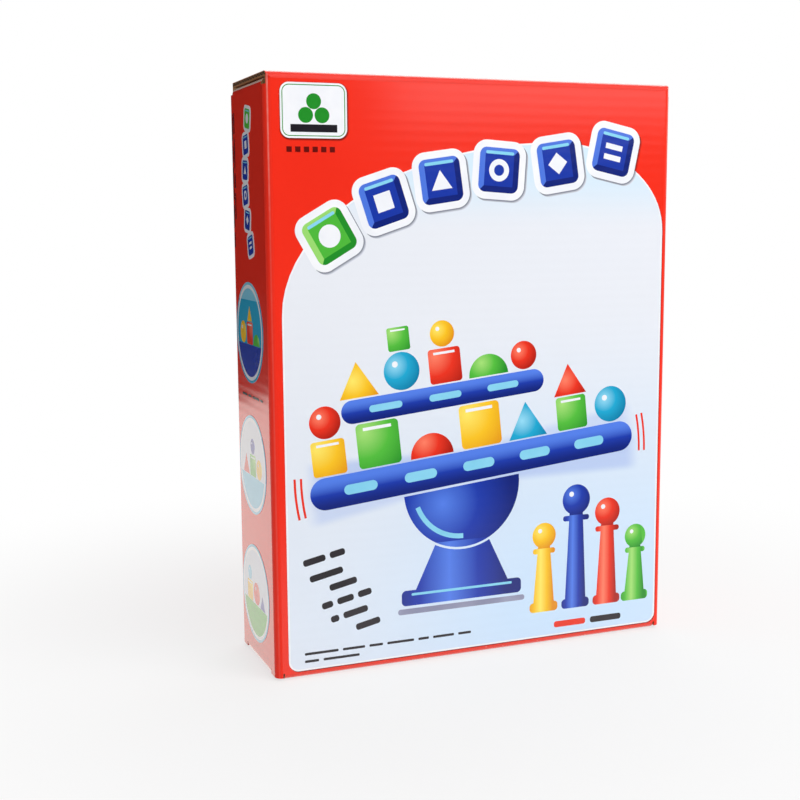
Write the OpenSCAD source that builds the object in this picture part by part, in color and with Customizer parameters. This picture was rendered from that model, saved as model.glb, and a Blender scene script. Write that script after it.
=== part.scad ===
// Printed game carton of microflute board: a glued sleeve with a tuck lid hinged on the front panel,
// two dust flaps below the lid and a four-flap snap-lock bottom.
// Millimetres. X runs left to right, Y front to back, Z up. The origin is the bottom centre.
// The front panel faces -Y. The flutes run round the sleeve, so the folds cross them.

/* [Carton] */
// Width of the carton, left to right
carton_w = 150; // [144:1:190]
// Depth of the carton, front to back
carton_d = 44; // [42:1:60]
// Height of the carton
carton_h = 200; // [194:1:260]

/* [Board] */
// Thickness of the corrugated board
board_t = 1.5; // [1.2:0.1:1.8]
// Inner radius of every fold
fold_inner_r = 0.9; // [0.6:0.1:1.1]
// Gap between boards that lie against each other
board_play = 0.3; // [0.2:0.05:0.5]

/* [Glue flap] */
// Width of the flap that is glued inside the right panel
glue_flap_w = 15; // [10:1:18]
// Length of the slanted cut at each end of the glue flap
glue_flap_taper = 7; // [4:1:12]

/* [Lid] */
// Gap between each end of the lid and the outside of the carton
lid_end_gap = 0.8; // [0.4:0.1:1.5]
// Gap between the tongue and the back panel
tongue_play = 0.4; // [0.3:0.05:0.6]
// Length of the tongue, from the tuck fold to its free edge
tongue_l = 15; // [11:1:20]
// Radius of the tongue's free corners
tongue_corner_r = 8; // [4:1:10]
// Length of the slit at each end of the tuck fold
slit_l = 8; // [5:1:12]
// Width of the slit
slit_w = 0.3; // [0.2:0.1:0.4]
// Gap between each end of the tongue and the end of the lid
tongue_end_gap = 1; // [0.5:0.1:3]

/* [Dust flaps] */
// Length of each dust flap
dust_flap_l = 38; // [30:1:45]
// Distance from a dust flap's front edge to the inside of the front panel
dust_flap_front_gap = 2; // [1.6:0.1:3]
// Distance from a dust flap's rear edge to the inside of the back panel
dust_flap_rear_gap = 2.7; // [2.6:0.1:4]
// Radius of a dust flap's free corners
dust_flap_corner_r = 7; // [4:1:9]

/* [Bottom flaps] */
// Length over which an inner flap steps up from its fold
flap_step_l = 4; // [3:0.5:5]
// Distance from the front fold to the free edge of the outer flap
outer_flap_l = 28.6; // [26:0.2:30]
// Distance from the back fold to the free edge of the inner flap
inner_flap_l = 29; // [27:0.2:31]
// Width of the locking tab
tab_w = 41; // [32:1:50]
// Gap at each side of the locking tab
tab_gap = 1; // [0.6:0.1:1.5]
// Distance from the front fold to the tab's root
tab_root = 17.5; // [16:0.5:18]
// Length over which the tab climbs through the flaps
tab_climb = 9; // [8:0.5:10]
// Length of the tab's tip that lies on the inner flap
tab_tip_l = 7; // [5:0.5:8]
// Length of the side flaps
side_flap_l = 44; // [36:1:46]

/* [Print] */
// Thickness of the printed film
ink_t = 0.1; // [0.05:0.01:0.2]
// Distance from the left edge of the carton to the pale panel
panel_left = 5; // [4:0.5:8]
// Distance from the right edge of the carton to the pale panel
panel_right = 3.2; // [3.2:0.2:8]
// Height of the pale panel's lower edge
panel_bottom = 3.2; // [3.2:0.2:8]
// Distance from the top of the carton to the panel's crest
panel_crest = 21.5; // [18:0.5:30]
// Width of the white line round the panel
panel_line = 0.6; // [0.4:0.1:1]
// Side of a title tile
tile_w = 15; // [12:0.5:16]
// Width of the white border of a tile
tile_border = 2.4; // [1.5:0.1:3]
// Radius of the round pictures on the left panel
side_picture_r = 17.2; // [14:0.2:17.2]
// Distance from the middle of the left panel to the middle of the pictures, towards the back
side_picture_shift = 2.2; // [0:0.1:2.2]

/* [Hidden] */
$fn = 96;
fold_r = fold_inner_r + board_t;
half_w = carton_w / 2;
half_d = carton_d / 2;

// Heights of the boards that lie under the lid
lid_under_z = carton_h - board_t;
dust_flap_z = lid_under_z - board_play;
side_top_z = dust_flap_z - fold_r;
front_top_z = carton_h - fold_r;

// The lid turns about the outer skin, half way round the front fold
fold_centre_y = -half_d + fold_r;
hinge_y = fold_centre_y - fold_r * cos(45);
hinge_z = front_top_z + fold_r * sin(45);
lid_half_w = half_w - lid_end_gap;

// The tongue is bent to an arc round the hinge, so that it slides out without rubbing
tongue_r = half_d - board_t - tongue_play - hinge_y;
tuck_r = tongue_r - fold_r;
tuck_drop = hinge_z - front_top_z;
tuck_y = hinge_y + sqrt(tuck_r * tuck_r - tuck_drop * tuck_drop);
tuck_a = -asin(tuck_drop / tuck_r);
tongue_a = tongue_l / tongue_r * 180 / PI;
tongue_tip_z = hinge_z + tongue_r * sin(tuck_a - tongue_a);
tongue_half_w = lid_half_w - tongue_end_gap;
ear_a = asin((lid_under_z - slit_w - hinge_z) / tongue_r);

// Levels of the bottom flaps, from the outer flap up to the locking tab
flap_pitch = board_t + board_play;
side_flap_z = flap_pitch;
inner_flap_z = 2 * flap_pitch;
tab_z = 3 * flap_pitch;
flap_edge_gap = 0.6;
side_flap_half = half_d - fold_r - flap_step_l - flap_edge_gap;
// Length over which the tip of the outer flap is cut back at each side
outer_flap_shoulder = 8;
// Share of its length over which a side flap keeps its full width
side_flap_straight = 0.55;
// The vertical folds reach down past the start of the bottom folds, as far as the die cut
corner_cut_z = 0.8;
// Gap in the middle of the front fold, between the carton's half and the lid's
fold_play = 0.05;
// Greatest turn between two points of a drawn arc
arc_step = 6;

// The artwork is drawn for a carton of this size. On another, its places spread with the carton
// and its shapes follow the smaller of the two ratios.
drawn_w = 150;
drawn_d = 44;
drawn_h = 200;
spread_x = carton_w / drawn_w;
spread_y = carton_d / drawn_d;
spread_z = carton_h / drawn_h;
front_fit = min(spread_x, spread_z);
side_fit = min(spread_y, spread_z);

// Outline of the pale panel: its crest lies right of the middle
panel_x0 = -half_w + panel_left;
panel_x1 = half_w - panel_right;
panel_top_z = carton_h - panel_crest;
crest_x = 30 * spread_x;
left_curve_h = 56.5 * spread_z;
right_curve_h = 30 * spread_z;
panel_corner_r = 3;
curve_steps = 20;

// Colours of the board and of the inks
red_board = [0.93, 0.16, 0.09];
red_lid = [0.90, 0.15, 0.09];
ink = [
    ["white", [0.97, 0.97, 0.98]],
    ["pale_blue", [0.86, 0.92, 0.98]],
    ["blue", [0.08, 0.20, 0.66]],
    ["sky", [0.22, 0.62, 0.86]],
    ["yellow", [0.98, 0.78, 0.10]],
    ["green", [0.24, 0.66, 0.18]],
    ["red", [0.90, 0.18, 0.12]],
    ["dark", [0.13, 0.12, 0.15]],
    ["shadow", [0.52, 0.50, 0.62]]
];
function ink_colour(name) = ink[search([name], ink)[0]][1];

// Title tiles, five of one colour and one of another: colour, x, height, turn, mark
tiles = [
    ["green", -54, 148, 30, "ball"],
    ["blue", -35, 159, 18, "square"],
    ["blue", -14.5, 166, 8, "triangle"],
    ["blue", 7, 169.5, -4, "ring"],
    ["blue", 29.5, 172, 9, "diamond"],
    ["blue", 51.5, 176, -12, "bars"]
];

// The picture stands in a frame of its own, turned by beam_tilt about its middle
beam_x = -1;
beam_z = 74;
beam_tilt = 6;
beam_l = 124;
beam_h = 11;
upper_beam_l = 76;
upper_beam_h = 8;
upper_beam_u = -10;
upper_beam_v = 16.4;
rocker_u = -7;
rocker_r = 22;
rocker_gap = 0.8;
// Pale band on the rocker: inner and outer radius as shares of the rocker's, first and last angle
rocker_band_r = [0.78, 0.86];
rocker_band_a = [195, 265];
// The rocker rolls in the hollow top of a plinth, whose foot lies plinth_drop below the rocker's middle
plinth_drop = 41;
plinth_h = 21.5;
plinth_top_w = 20;
plinth_w = 38;
plinth_foot_w = 46;
plinth_foot_h = 5.5;
floor_shade_h = 2;
cup_l = 12;
cup_h = 3.4;
cup_pitch = 22;
// Toys on the beams: shape, colour, place along the beam, height above the beam, width
toys = [
    ["block", "yellow", -54, 0.5, 12],
    ["ball", "red", -54, 13, 11],
    ["block", "green", -36, 0.5, 15.4],
    ["dome", "red", -17, 0.5, 16],
    ["block", "yellow", 2, 0.5, 15.4],
    ["wedge", "sky", 20, 0.5, 15],
    ["block", "green", 38, 0.5, 12],
    ["wedge", "red", 38, 13, 13],
    ["ball", "sky", 54, 0.5, 13],
    ["wedge", "yellow", -41, 24.9, 14],
    ["ball", "sky", -25, 24.9, 13],
    ["block", "green", -25, 38.4, 8],
    ["block", "red", -9, 24.9, 12],
    ["ball", "yellow", -9, 37.4, 9],
    ["dome", "green", 7, 24.9, 15],
    ["ball", "red", 21, 24.9, 10]
];

// Lines beside each end of the lower beam: their gaps to it, their thickness and half their angle
sway_gaps = [2.4, 4.6];
sway_line = 0.8;
sway_a = 6;

// Pawns in the lower right corner: colour, x, height
pawns = [["yellow", 25.5, 33], ["blue", 38.5, 46], ["red", 51.5, 40], ["green", 63.5, 29]];
pawn_floor = 12;
pawn_foot_w = 11.4;
pawn_foot_h = 3.6;
pawn_collar_h = 2;
// Radius of a pawn's head: a fixed part, and a share of the pawn's height
pawn_head_r = 2.4;
pawn_head_growth = 0.07;

// Rows of short bars where a few words would stand: start, drop of the row, lengths of the bars
note_rows = [
    [0, 0, [8, 5.5]],
    [1, 6, [12]],
    [7, 11, [10]],
    [3, 16.5, [4, 6, 5]],
    [5, 22, [3, 9]],
    [13, 27.5, [9]]
];
note_x = -65;
note_z = 39.5;
note_tilt = 12;
note_bar = 2.3;
word_gap = 1.6;
// Two rows of small bars along the panel's foot, and two bars below the pawns
small_rows = [[8.2, [12, 8, 5, 10, 4, 8, 5]], [5.6, [5, 13]]];
small_bar = 0.9;
pawn_bars = [["red", 29.8], ["dark", 44.8]];
pawn_bar_l = 13;
pawn_bar_z = 6.6;

// How far the shadow of the tiles lies down and to the right
shadow_shift = 0.8;

// Badge in the upper left corner, and the dots below it
badge_x = -58.7;
badge_z = 187.8;
badge_w = 22.4;
badge_h = 17.4;
badge_r = 3;
badge_rim = 0.6;
badge_ball = 2.5;
code_z = 175.6;
code_pitch = 2.9;
code_dot = 1.7;

// Left panel: a column of small tiles above three round pictures
side_tile_w = 6.4;
side_tile_border = 1.1;
side_tile_z = 186.5;
side_tile_pitch = 8.3;
side_tile_wave = [1, -1.6, -3, -3.2, -1.4, 2];
side_tile_turn = [-10, 6, -4, 8, -8, 12];
side_bar_u = -18.6;
side_bar_z = 189.5;
side_bar_pitch = 2;
side_bars_l = [[9, 6, 11, 8, 5], [7, 10, 5, 9]];
caption_l = [6, 4, 8, 3];
caption_drop = 4.6;
side_bar = 0.8;
side_picture_low = 24;
side_picture_pitch = 45.7;
side_rim = 0.9;
side_white_rim = 1.2;
side_ground = -4;
// Each picture: colour above the ground, colour of the ground, and toys
side_scenes = [
    ["pale_blue", "green", [
        ["block", "yellow", -7, -3.9, 7],
        ["ball", "red", 1.5, -3.9, 8],
        ["wedge", "blue", 9, -3.9, 6],
        ["ball", "sky", -7, 3.4, 5]
    ]],
    ["pale_blue", "sky", [
        ["wedge", "red", -8, -3.9, 8],
        ["block", "green", 0.5, -3.9, 7.4],
        ["ball", "yellow", 8.5, -3.9, 7],
        ["ball", "blue", 0.5, 3.8, 5.4]
    ]],
    ["sky", "blue", [
        ["ball", "yellow", -8, -3.9, 7.6],
        ["block", "red", 0.5, -3.9, 7.6],
        ["dome", "green", 8.8, -3.9, 8],
        ["wedge", "yellow", 0.5, 4, 6]
    ]]
];

module ring_sector(inner_r, outer_r, start_a, end_a) {
    reach = 2 * outer_r;
    mid_a = (start_a + end_a) / 2;
    intersection() {
        difference() {
            circle(r = outer_r);
            circle(r = inner_r);
        }
        polygon([
            [0, 0],
            reach * [cos(start_a), sin(start_a)],
            reach * [cos(mid_a), sin(mid_a)],
            reach * [cos(end_a), sin(end_a)]
        ]);
    }
}

module fold(start_a, end_a) {
    ring_sector(fold_inner_r, fold_r, start_a, end_a);
}

// A rectangle with round corners, centred on the origin
module rounded(w, h, r) {
    square([w - 2 * r, h], center = true);
    square([w, h - 2 * r], center = true);
    for (x = [-1, 1], y = [-1, 1])
        translate([x * (w / 2 - r), y * (h / 2 - r)]) circle(r = r);
}

// Carries a section drawn in Y and Z along X, centred
module along_x(length) {
    rotate([90, 0, 90])
        translate([0, 0, -length / 2]) linear_extrude(length) children();
}

// Plan of the sleeve: four panels, three rounded folds, and the fold that leads to the glue flap
module sleeve_plan() {
    panel_w = carton_w - 2 * fold_r;
    panel_d = carton_d - 2 * fold_r;
    translate([-half_w + fold_r, -half_d]) square([panel_w, board_t]);
    translate([-half_w + fold_r, half_d - board_t]) square([panel_w - board_t, board_t]);
    translate([-half_w, -half_d + fold_r]) square([board_t, panel_d]);
    translate([half_w - board_t, -half_d + fold_r]) square([board_t, panel_d + fold_r]);
    translate([-half_w + fold_r, -half_d + fold_r]) fold(180, 270);
    translate([half_w - fold_r, -half_d + fold_r]) fold(270, 360);
    translate([-half_w + fold_r, half_d - fold_r]) fold(90, 180);
    translate([half_w - board_t - fold_r, half_d - fold_r]) fold(0, 90);
}

module sleeve() {
    translate([0, 0, fold_r]) linear_extrude(side_top_z - fold_r) sleeve_plan();
}

// Between the bottom flaps the sleeve runs on down to the die cut
module corner_feet() {
    inner_y = side_flap_half + flap_edge_gap;
    for (side = [-1, 1], rear = [-1, 1]) {
        glued = side == 1 && rear == 1 ? board_t : 0;
        inner_x = half_w - fold_r - glued;
        translate([0, 0, corner_cut_z]) linear_extrude(fold_r - corner_cut_z) intersection() {
            sleeve_plan();
            translate([side > 0 ? inner_x : -half_w, rear > 0 ? inner_y : -half_d])
                square([half_w - inner_x, half_d - inner_y]);
        }
    }
}

module outer_plan() {
    rounded(carton_w, carton_d, fold_r);
}

// The front panel's upper edge, as far as the middle of the lid's fold
module front_panel_top() {
    intersection() {
        along_x(2 * lid_half_w) {
            translate([-half_d, side_top_z]) square([board_t, front_top_z - side_top_z]);
            translate([fold_centre_y, front_top_z]) fold(135, 180);
        }
        linear_extrude(carton_h) outer_plan();
    }
}

// The back panel's upper edge, raw and flush with the lid
module back_panel_top() {
    corner_a = 30;
    left_x = -half_w + fold_r;
    right_x = half_w - board_t - fold_r;
    translate([0, 0, side_top_z]) linear_extrude(carton_h - side_top_z) {
        translate([left_x, half_d - board_t]) square([right_x - left_x, board_t]);
        translate([left_x, half_d - fold_r]) fold(90, 90 + corner_a);
        translate([right_x, half_d - fold_r]) fold(90 - corner_a, 90);
    }
}

// The flap that glues the back panel to the inside of the right panel
module glue_flap() {
    root_y = half_d - fold_r;
    tip_y = root_y - glue_flap_w;
    low_z = corner_cut_z;
    high_z = side_top_z;
    translate([half_w - 1.5 * board_t, 0, 0]) along_x(board_t)
        polygon([
            [root_y, low_z],
            [root_y, high_z],
            [tip_y, high_z - glue_flap_taper],
            [tip_y, low_z + glue_flap_taper]
        ]);
}

// A flap folded in from the foot of a panel that stands half_span to the left.
// It steps up by rise just past its fold. The child is its outline: inward, then along the panel.
module flap(half_span, rise, reach) {
    span = 2 * (half_w + half_d);
    translate([-half_span + fold_r, 0, 0]) intersection() {
        translate([0, span / 2, 0]) rotate([90, 0, 0]) linear_extrude(span) {
            translate([0, fold_r]) fold(180, 270);
            polygon([
                [0, 0],
                [flap_step_l, rise],
                [reach, rise],
                [reach, rise + board_t],
                [flap_step_l, rise + board_t],
                [0, board_t]
            ]);
        }
        linear_extrude(2 * fold_r + rise + board_t) children();
    }
}

module dust_flap_outline() {
    front = -half_d + board_t + dust_flap_front_gap;
    rear = half_d - board_t - dust_flap_rear_gap;
    r = dust_flap_corner_r;
    translate([-fold_r, front]) square([fold_r + dust_flap_l - r, rear - front]);
    translate([dust_flap_l - 2 * r, front + r]) square([2 * r, rear - front - 2 * r]);
    translate([dust_flap_l - r, front + r]) circle(r = r);
    translate([dust_flap_l - r, rear - r]) circle(r = r);
}

module dust_flaps() {
    for (side = [0, 1])
        translate([0, 0, dust_flap_z]) mirror([0, 0, 1]) mirror([side, 0, 0])
            flap(half_w, 0, dust_flap_l) dust_flap_outline();
}

// The flap that is folded in first, with a notch for the locking tab
module inner_flap() {
    half_l = half_w - board_t - fold_r - flap_edge_gap;
    notch_half = tab_w / 2 + tab_gap;
    notch_end = carton_d - 2 * fold_r - tab_root - tab_climb - tab_gap;
    rotate([0, 0, -90]) flap(half_d, inner_flap_z, inner_flap_l) difference() {
        polygon([
            [-fold_r, -half_l],
            [flap_step_l, -half_l],
            [inner_flap_l, -half_l + inner_flap_l - flap_step_l],
            [inner_flap_l, half_l - inner_flap_l + flap_step_l],
            [flap_step_l, half_l],
            [-fold_r, half_l]
        ]);
        translate([notch_end, -notch_half]) square([inner_flap_l, 2 * notch_half]);
    }
}

// The two flaps that lie between the inner and the outer one
module side_flaps() {
    for (side = [0, 1])
        mirror([side, 0, 0]) flap(half_w, side_flap_z, side_flap_l)
            polygon([
                [-fold_r, -side_flap_half],
                [side_flap_l * side_flap_straight, -side_flap_half],
                [side_flap_l, 0],
                [side_flap_l, side_flap_half],
                [-fold_r, side_flap_half]
            ]);
}

// The flap that is folded in last, with the locking tab that dives over the inner flap
module outer_flap() {
    full_half = half_w - fold_r - flap_edge_gap;
    near_half = full_half - flap_step_l;
    tab_half = tab_w / 2;
    rotate([0, 0, 90]) flap(half_d, 0, outer_flap_l) difference() {
        polygon([
            [-fold_r, -full_half],
            [0, -full_half],
            [flap_step_l, -near_half],
            [outer_flap_l - outer_flap_shoulder, -near_half],
            [outer_flap_l, -near_half + outer_flap_shoulder],
            [outer_flap_l, near_half - outer_flap_shoulder],
            [outer_flap_l - outer_flap_shoulder, near_half],
            [flap_step_l, near_half],
            [0, full_half],
            [-fold_r, full_half]
        ]);
        translate([tab_root, -tab_half - tab_gap]) square([outer_flap_l, 2 * (tab_half + tab_gap)]);
    }
    root_y = -half_d + fold_r + tab_root;
    climb_y = root_y + tab_climb;
    tip_y = climb_y + tab_tip_l;
    along_x(tab_w) polygon([
        [root_y, 0],
        [climb_y, tab_z],
        [tip_y, tab_z],
        [tip_y, tab_z + board_t],
        [climb_y, tab_z + board_t],
        [root_y, board_t]
    ]);
}

module carton() color(red_board) {
    sleeve();
    corner_feet();
    front_panel_top();
    back_panel_top();
    glue_flap();
    dust_flaps();
    inner_flap();
    side_flaps();
    outer_flap();
}

// Points along an arc of the lid's section, from start_a to end_a, without the first one
function arc_points(centre, r, start_a, end_a) =
    let (steps = max(4, ceil(abs(end_a - start_a) / arc_step)))
    [for (i = [1:steps]) let (a = start_a + (end_a - start_a) * i / steps)
        centre + r * [cos(a), sin(a)]];

hinge_fold = [fold_centre_y, front_top_z];
tuck_fold = [tuck_y, front_top_z];
hinge = [hinge_y, hinge_z];
// The lid starts here, just clear of the carton's half of the front fold
lid_root = [for (r = [fold_inner_r, fold_r])
    hinge_fold + r * [cos(135), sin(135)] + fold_play * [cos(45), sin(45)]];

// Section of the lid: the upper half of the front fold, the flat board, the tuck fold and the tongue
module lid_section() {
    polygon(concat(
        lid_root,
        arc_points(hinge_fold, fold_r, 135, 90),
        [[tuck_y, carton_h]],
        arc_points(tuck_fold, fold_r, 90, tuck_a),
        arc_points(hinge, tongue_r, tuck_a, tuck_a - tongue_a),
        [hinge + (tongue_r - board_t) * [cos(tuck_a - tongue_a), sin(tuck_a - tongue_a)]],
        arc_points(hinge, tongue_r - board_t, tuck_a - tongue_a, tuck_a),
        arc_points(tuck_fold, fold_inner_r, tuck_a, 90),
        [[fold_centre_y, lid_under_z]]
    ));
}

// At each end the flat board runs on past the tuck fold, above the slit
module lid_end_section() {
    shoulder_y = half_d - board_t - tongue_play;
    polygon(concat(
        lid_root,
        arc_points(hinge_fold, fold_r, 135, 90),
        [[shoulder_y, carton_h], [shoulder_y, lid_under_z], [fold_centre_y, lid_under_z]]
    ));
}

// Below the slit the tongue reaches out as an ear
module ear_section() {
    inner_r = tongue_r - board_t;
    tip_a = tuck_a - tongue_a;
    polygon(concat(
        [hinge + tongue_r * [cos(ear_a), sin(ear_a)], hinge + tongue_r * [cos(tuck_a), sin(tuck_a)]],
        arc_points(hinge, tongue_r, tuck_a, tip_a),
        [hinge + inner_r * [cos(tip_a), sin(tip_a)]],
        arc_points(hinge, inner_r, tip_a, tuck_a),
        [hinge + inner_r * [cos(ear_a), sin(ear_a)]]
    ));
}

// Front view of the lid: the flat board's full width, and a tongue with slanted sides and round corners
module lid_outline() {
    r = tongue_corner_r;
    tip_half = tongue_half_w - tongue_l / 3;
    round_z = tongue_tip_z + r;
    translate([-half_w, front_top_z]) square([carton_w, carton_h]);
    polygon([
        [-tongue_half_w, front_top_z],
        [-tip_half, round_z],
        [tip_half, round_z],
        [tongue_half_w, front_top_z]
    ]);
    translate([r - tip_half, tongue_tip_z - 1]) square([2 * (tip_half - r), r + 1]);
    for (side = [-1, 1])
        translate([side * (tip_half - r), round_z]) circle(r = r);
}

module lid() color(red_lid) {
    fold_half = lid_half_w - slit_l;
    ear_l = tongue_half_w - fold_half;
    intersection() {
        union() {
            along_x(2 * fold_half) lid_section();
            for (side = [-1, 1]) {
                translate([side * (fold_half + slit_l / 2), 0, 0]) along_x(slit_l) lid_end_section();
                translate([side * (fold_half + ear_l / 2), 0, 0]) along_x(ear_l) ear_section();
            }
        }
        translate([0, half_d, 0]) rotate([90, 0, 0]) linear_extrude(carton_d) lid_outline();
    }
}

// Lays a drawing on the front panel: x to the right, height up
module on_front() {
    translate([0, -half_d, 0]) rotate([90, 0, 0]) linear_extrude(ink_t) children();
}

// Lays a drawing on the left panel: towards the front is to the right
module on_left() {
    translate([-half_w, 0, 0]) rotate([90, 0, -90]) linear_extrude(ink_t) children();
}

// Puts a shape at its place on the front or left panel, at the size that fits the carton
module at_front(x, z) {
    translate([x * spread_x, z * spread_z]) scale(front_fit) children();
}

module at_left(u, z) {
    translate([u * spread_y, z * spread_z]) scale(side_fit) children();
}

// The pale panel: upright sides, round lower corners and two quarter ellipses that meet at the crest
module panel_shape(grow) {
    x0 = panel_x0 - grow;
    x1 = panel_x1 + grow;
    z0 = panel_bottom - grow;
    r = panel_corner_r + grow;
    left_z = panel_top_z - left_curve_h;
    right_z = panel_top_z - right_curve_h;
    left_arc = [for (i = [0:curve_steps]) let (a = 180 - 90 * i / curve_steps)
        [crest_x + (crest_x - x0) * cos(a), left_z + (left_curve_h + grow) * sin(a)]];
    right_arc = [for (i = [1:curve_steps]) let (a = 90 - 90 * i / curve_steps)
        [crest_x + (x1 - crest_x) * cos(a), right_z + (right_curve_h + grow) * sin(a)]];
    polygon(concat([[x0, z0 + r]], left_arc, right_arc, [[x1, z0 + r]]));
    translate([x0 + r, z0]) square([x1 - x0 - 2 * r, r]);
    for (x = [x0 + r, x1 - r])
        translate([x, z0 + r]) circle(r = r);
}

// The mark that is cut out of a tile
module mark(name, w) {
    if (name == "ball") circle(r = w / 2);
    if (name == "square") square(w * 0.8, center = true);
    if (name == "triangle") polygon([[-w / 2, -w * 0.4], [w / 2, -w * 0.4], [0, w * 0.46]]);
    if (name == "ring") difference() {
        circle(r = w / 2);
        circle(r = w / 4);
    }
    if (name == "diamond") rotate(45) square(w * 0.7, center = true);
    if (name == "bars") for (y = [-1, 1])
        translate([0, y * w / 4]) square([w * 0.9, w / 4], center = true);
}

module tile_plate(w, border) {
    rounded(w + 2 * border, w + 2 * border, w / 6 + border);
}

module tile_glint(w) {
    translate([0, w * 0.39]) rounded(w * 0.7, w * 0.07, w * 0.03);
}

module tile_face(name, w) {
    difference() {
        rounded(w, w, w / 6);
        mark(name, w * 0.5);
        tile_glint(w);
    }
}

module at_front_tile(tile) {
    at_front(tile[1], tile[2]) rotate(tile[3]) children();
}

module front_plates() {
    for (tile = tiles)
        at_front_tile(tile) tile_plate(tile_w, tile_border);
}

module front_shadows() {
    difference() {
        translate([shadow_shift, -shadow_shift]) front_plates();
        front_plates();
    }
}

// The badge in the upper left corner: a bordered plate with three balls on a bar
module badge_plate() {
    at_front(badge_x, badge_z) rounded(badge_w, badge_h, badge_r);
}

module badge_line() {
    at_front(badge_x, badge_z) difference() {
        rounded(badge_w - 2 * badge_rim, badge_h - 2 * badge_rim, badge_r - badge_rim);
        rounded(badge_w - 3 * badge_rim, badge_h - 3 * badge_rim, badge_r - 1.5 * badge_rim);
    }
}

module badge_balls() {
    at_front(badge_x, badge_z)
        for (ball = [[-badge_ball, 0], [badge_ball, 0], [0, badge_ball * sqrt(3)]])
            translate([ball[0] * 1.1, ball[1] - badge_h / 12]) circle(r = badge_ball);
}

module badge_bar() {
    at_front(badge_x, badge_z) translate([0, -badge_h * 0.32])
        square([badge_w * 0.7, badge_h * 0.14], center = true);
}

// One toy, standing on the origin
module toy_shape(kind, w) {
    if (kind == "block") translate([0, w / 2]) rounded(w, w, w / 10);
    if (kind == "ball") translate([0, w / 2]) circle(r = w / 2);
    if (kind == "wedge") polygon([[-w / 2, 0], [w / 2, 0], [0, w * 0.86]]);
    if (kind == "dome") intersection() {
        circle(r = w / 2);
        translate([-w / 2, 0]) square([w, w]);
    }
}

module toy_glint(kind, w) {
    if (kind == "ball") translate([-w * 0.17, w * 0.7]) circle(r = w * 0.08);
    if (kind == "block") translate([0, w * 0.87]) square([w * 0.66, w * 0.07], center = true);
}

// Toys of one colour; the name all draws every toy without its glint
module toy_row(list, colour) {
    for (toy = list)
        if (colour == "all" || toy[1] == colour)
            translate([toy[2], toy[3]]) difference() {
                toy_shape(toy[0], toy[4]);
                if (colour != "all") toy_glint(toy[0], toy[4]);
            }
}

module toy_glints(list) {
    for (toy = list)
        translate([toy[2], toy[3]]) toy_glint(toy[0], toy[4]);
}

module in_picture() {
    at_front(beam_x, beam_z) rotate(beam_tilt) children();
}

// The middle of the rocker, upright
module at_rocker() {
    at_front(beam_x, beam_z) rotate(beam_tilt) translate([rocker_u, -beam_h - rocker_gap])
        rotate(-beam_tilt) children();
}

module plinth() {
    at_rocker() {
        difference() {
            polygon([
                [-plinth_w / 2, -plinth_drop + plinth_foot_h / 2],
                [plinth_w / 2, -plinth_drop + plinth_foot_h / 2],
                [plinth_top_w / 2, -plinth_drop + plinth_h],
                [-plinth_top_w / 2, -plinth_drop + plinth_h]
            ]);
            circle(r = rocker_r + rocker_gap);
        }
        translate([0, -plinth_drop + plinth_foot_h / 2])
            rounded(plinth_foot_w, plinth_foot_h, plinth_foot_h * 0.3);
    }
}

module plinth_glint() {
    at_rocker() translate([0, -plinth_drop + plinth_foot_h * 0.72])
        rounded(plinth_foot_w * 0.84, plinth_foot_h * 0.16, plinth_foot_h * 0.07);
}

module beams() {
    translate([0, -beam_h / 2]) rounded(beam_l, beam_h, beam_h / 2 - 0.01);
    translate([upper_beam_u, upper_beam_v + upper_beam_h / 2])
        rounded(upper_beam_l, upper_beam_h, upper_beam_h / 2 - 0.01);
    translate([rocker_u, -beam_h - rocker_gap]) intersection() {
        circle(r = rocker_r);
        translate([-rocker_r, -rocker_r]) square([2 * rocker_r, rocker_r]);
    }
}

// Pale cups along the beams and a pale band on the rocker
module beam_cups() {
    for (i = [-2:2])
        translate([i * cup_pitch, -beam_h / 2]) rounded(cup_l, cup_h, cup_h / 2 - 0.01);
    for (i = [-1:1])
        translate([upper_beam_u + i * cup_pitch, upper_beam_v + upper_beam_h / 2])
            rounded(cup_l, cup_h * 0.7, cup_h * 0.35 - 0.01);
    translate([rocker_u, -beam_h - rocker_gap])
        ring_sector(
            rocker_r * rocker_band_r[0], rocker_r * rocker_band_r[1],
            rocker_band_a[0], rocker_band_a[1]
        );
}

module sway_lines() {
    for (side = [0, 180], gap = sway_gaps)
        translate([0, -beam_h / 2])
            ring_sector(beam_l / 2 + gap, beam_l / 2 + gap + sway_line, side - sway_a, side + sway_a);
}

module floor_shade() {
    at_rocker() translate([0, -plinth_drop - floor_shade_h])
        rounded(plinth_foot_w * 1.06, floor_shade_h, floor_shade_h * 0.45);
}

function head_radius(h) = pawn_head_r + pawn_head_growth * h;

module pawn_shape(h) {
    head_r = head_radius(h);
    skirt_half = pawn_foot_w * 0.38;
    neck_half = head_r * 0.45;
    translate([0, pawn_foot_h / 2]) rounded(pawn_foot_w, pawn_foot_h, pawn_foot_h * 0.4);
    polygon([
        [-skirt_half, pawn_foot_h / 2],
        [skirt_half, pawn_foot_h / 2],
        [neck_half, h - head_r],
        [-neck_half, h - head_r]
    ]);
    translate([0, h - 2.2 * head_r]) rounded(head_r * 1.9, pawn_collar_h, pawn_collar_h * 0.44);
    translate([0, h - head_r]) circle(r = head_r);
}

module pawn_glint(h) {
    head_r = head_radius(h);
    translate([-head_r * 0.35, h - head_r * 0.62]) circle(r = head_r * 0.17);
}

module pawn_row(colour) {
    for (pawn = pawns)
        if (colour == "all" || pawn[0] == colour)
            at_front(pawn[1], pawn_floor) difference() {
                pawn_shape(pawn[2]);
                if (colour != "all") pawn_glint(pawn[2]);
            }
}

module pawn_glints() {
    for (pawn = pawns)
        at_front(pawn[1], pawn_floor) pawn_glint(pawn[2]);
}

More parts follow.
